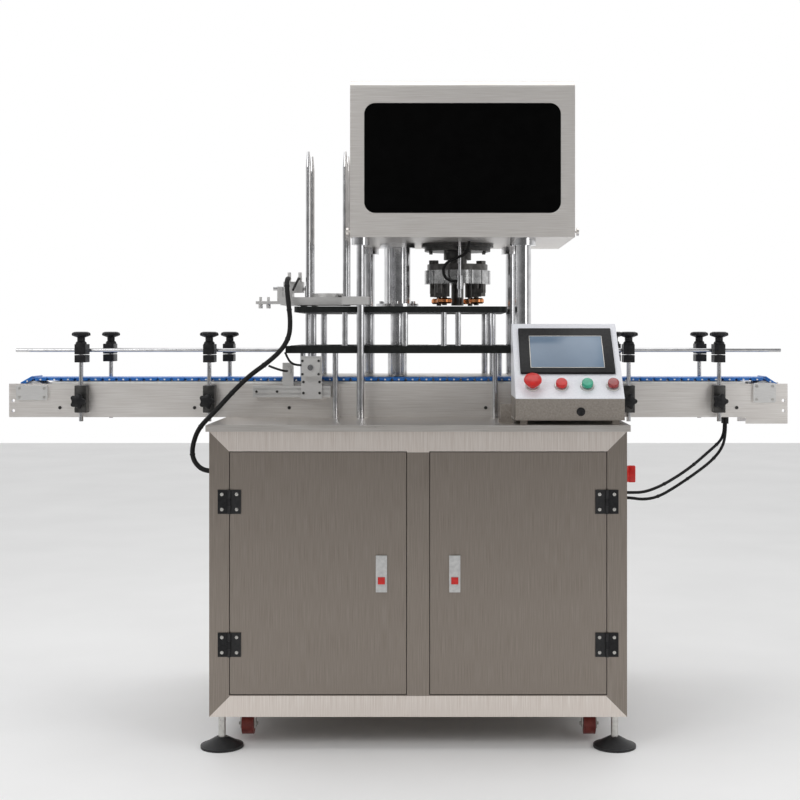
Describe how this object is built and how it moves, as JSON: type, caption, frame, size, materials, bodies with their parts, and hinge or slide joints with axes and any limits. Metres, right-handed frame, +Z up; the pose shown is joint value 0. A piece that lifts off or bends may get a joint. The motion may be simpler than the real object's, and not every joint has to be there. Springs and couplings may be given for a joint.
{
  "type": "capping machine",
  "caption": "Rotary capping machine on a two-door steel cabinet: slat conveyor, star wheel turret, sealing head under a hood, cap magazine, operator box.",
  "frame": {"origin": "on the floor, under the middle of the conveyor's length and the cabinet's depth", "axes": "+Z up, X along the conveyor, -Y towards the operator"},
  "size_m": [2.14, 0.852, 1.73],
  "materials": {
    "brushed_steel": "brushed stainless steel",
    "chrome": "polished hard chrome",
    "black_plastic": "black moulded nylon",
    "black_rubber": "black rubber",
    "zinc_steel": "zinc plated steel",
    "caster_tyre": "red-brown polyurethane",
    "red_plastic": "red moulded plastic",
    "white_plastic": "white polyethylene",
    "blue_belt": "blue acetal slat chain",
    "grey_aluminium": "satin anodised aluminium",
    "black_nylon": "black machined nylon plate",
    "dark_steel": "blackened steel",
    "window_acrylic": "black acrylic pane",
    "copper_roller": "copper coloured roller",
    "white_paint": "white powder coat",
    "screen_panel": "grey-blue panel with a display",
    "green_plastic": "green moulded plastic",
    "yellow_plastic": "yellow moulded plastic",
    "grey_paint": "grey painted motor"
  },
  "bodies": {
    "root": {"air_nozzle": "chrome", "bearing_covers": "grey_aluminium", "cabinet_frame": "brushed_steel", "cabinet_panels": "brushed_steel", "cable_glands": "black_plastic", "caster_forks": "zinc_steel", "columns": "chrome", "control_box": "white_paint", "conveyor_bed": "white_plastic", "conveyor_belt": "blue_belt", "conveyor_side_front": "brushed_steel", "conveyor_side_rear": "brushed_steel", "dead_plate": "brushed_steel", "drives": "grey_paint", "guide_brackets": "black_plastic", "guide_plates": "black_nylon", "head_hose": "black_rubber", "head_housing": "dark_steel", "hinge_leaves_fixed": "black_plastic", "hood_base": "brushed_steel", "left_harness": "black_rubber", "levelling_feet": "black_rubber", "magazine_plate": "grey_aluminium", "magazine_rods": "chrome", "profile_rail": "grey_aluminium", "pusher_cylinder": "grey_aluminium", "right_cables": "black_rubber", "stop_cylinder": "grey_aluminium", "switch_base": "yellow_plastic", "table_top": "brushed_steel", "touch_screen": "screen_panel", "turret_posts": "chrome", "upper_plate": "black_nylon"},
    "door_left_body": {"door_left": "brushed_steel", "door_fittings_left": "black_plastic"},
    "door_right_body": {"door_right": "brushed_steel", "door_fittings_right": "black_plastic"},
    "latch_left": {"latch_button_left": "red_plastic"},
    "latch_right": {"latch_button_right": "red_plastic"},
    "casters_front": {"caster_wheels_front": "caster_tyre"},
    "casters_rear": {"caster_wheels_rear": "caster_tyre"},
    "drive_shaft": {"drive_sprocket": "white_plastic"},
    "idler_shaft": {"idler_sprocket": "white_plastic"},
    "guide_fl": {"guide_front_left": "chrome"},
    "guide_fr": {"guide_front_right": "chrome"},
    "guide_rl": {"guide_rear_left": "chrome"},
    "guide_rr": {"guide_rear_right": "chrome"},
    "star": {"main_spindle": "chrome", "star_wheel": "black_nylon"},
    "hood": {"hood_cover": "brushed_steel", "hood_window": "window_acrylic"},
    "head": {"head_carrier": "chrome", "seam_rollers": "copper_roller"},
    "pusher": {"pusher_blade": "chrome"},
    "stop": {"stop_rod": "chrome"},
    "e_stop_body": {"e_stop": "red_plastic"},
    "button_stop_body": {"button_stop": "red_plastic"},
    "button_start_body": {"button_start": "green_plastic"},
    "button_reset_body": {"button_reset": "red_plastic"},
    "switch": {"switch_handle": "red_plastic"}
  },
  "joints": [
    {"name": "door_left_hinge", "type": "hinge", "parent": "root", "child": "door_left_body", "pos_m": [-0.414, -0.4046, 0.4], "axis": [0, 0, 1], "range_deg": [-100, 0]},
    {"name": "door_right_hinge", "type": "hinge", "parent": "root", "child": "door_right_body", "pos_m": [0.534, -0.4046, 0.4], "axis": [0, 0, 1], "range_deg": [0, 100]},
    {"name": "latch_left_push", "type": "slide", "parent": "door_left_body", "child": "latch_left", "axis": [0, 1, 0], "range_m": [0, 0.003], "stiffness_N_per_m": 400},
    {"name": "latch_right_push", "type": "slide", "parent": "door_right_body", "child": "latch_right", "axis": [0, 1, 0], "range_m": [0, 0.003], "stiffness_N_per_m": 400},
    {"name": "caster_spin_front", "type": "hinge", "parent": "root", "child": "casters_front", "pos_m": [0, -0.3, 0.039], "axis": [1, 0, 0], "continuous": true},
    {"name": "caster_spin_rear", "type": "hinge", "parent": "root", "child": "casters_rear", "pos_m": [0, 0.3, 0.039], "axis": [1, 0, 0], "continuous": true},
    {"name": "drive_sprocket_spin", "type": "hinge", "parent": "root", "child": "drive_shaft", "pos_m": [1.005, 0, 0.8835], "axis": [0, 1, 0], "continuous": true},
    {"name": "idler_sprocket_spin", "type": "hinge", "parent": "root", "child": "idler_shaft", "pos_m": [-1.005, 0, 0.8835], "axis": [0, 1, 0], "continuous": true},
    {"name": "guide_front_left_height", "type": "slide", "parent": "root", "child": "guide_fl", "axis": [0, 0, 1], "range_m": [-0.02, 0.02]},
    {"name": "guide_front_right_height", "type": "slide", "parent": "root", "child": "guide_fr", "axis": [0, 0, 1], "range_m": [-0.02, 0.02]},
    {"name": "guide_rear_left_height", "type": "slide", "parent": "root", "child": "guide_rl", "axis": [0, 0, 1], "range_m": [-0.02, 0.02]},
    {"name": "guide_rear_right_height", "type": "slide", "parent": "root", "child": "guide_rr", "axis": [0, 0, 1], "range_m": [-0.02, 0.02]},
    {"name": "star_wheel_spin", "type": "hinge", "parent": "root", "child": "star", "pos_m": [-0.01, 0.15, 0.992], "axis": [0, 0, 1], "continuous": true},
    {"name": "hood_cover_lift", "type": "slide", "parent": "root", "child": "hood", "axis": [0, 0, 1], "range_m": [0, 0.45]},
    {"name": "head_spin", "type": "hinge", "parent": "root", "child": "head", "pos_m": [0.165, 0.15, 1.189], "axis": [0, 0, 1], "continuous": true},
    {"name": "pusher_stroke", "type": "slide", "parent": "root", "child": "pusher", "axis": [1, 0, 0], "range_m": [0, 0.06]},
    {"name": "stop_stroke", "type": "slide", "parent": "root", "child": "stop", "axis": [0, 1, 0], "range_m": [0, 0.025]},
    {"name": "e_stop_press", "type": "slide", "parent": "root", "child": "e_stop_body", "axis": [0, 0.7071, -0.7071], "range_m": [0, 0.005], "stiffness_N_per_m": 600},
    {"name": "button_stop_press", "type": "slide", "parent": "root", "child": "button_stop_body", "axis": [0, 0.7071, -0.7071], "range_m": [0, 0.004], "stiffness_N_per_m": 400},
    {"name": "button_start_press", "type": "slide", "parent": "root", "child": "button_start_body", "axis": [0, 0.7071, -0.7071], "range_m": [0, 0.004], "stiffness_N_per_m": 400},
    {"name": "button_reset_press", "type": "slide", "parent": "root", "child": "button_reset_body", "axis": [0, 0.7071, -0.7071], "range_m": [0, 0.004], "stiffness_N_per_m": 400},
    {"name": "main_switch_turn", "type": "hinge", "parent": "root", "child": "switch", "pos_m": [0.585, -0.25, 0.678], "axis": [1, 0, 0], "range_deg": [0, 90]}
  ],
  "couplings": [
    {"joint": "idler_sprocket_spin", "follows": "drive_sprocket_spin", "ratio": 1}
  ]
}
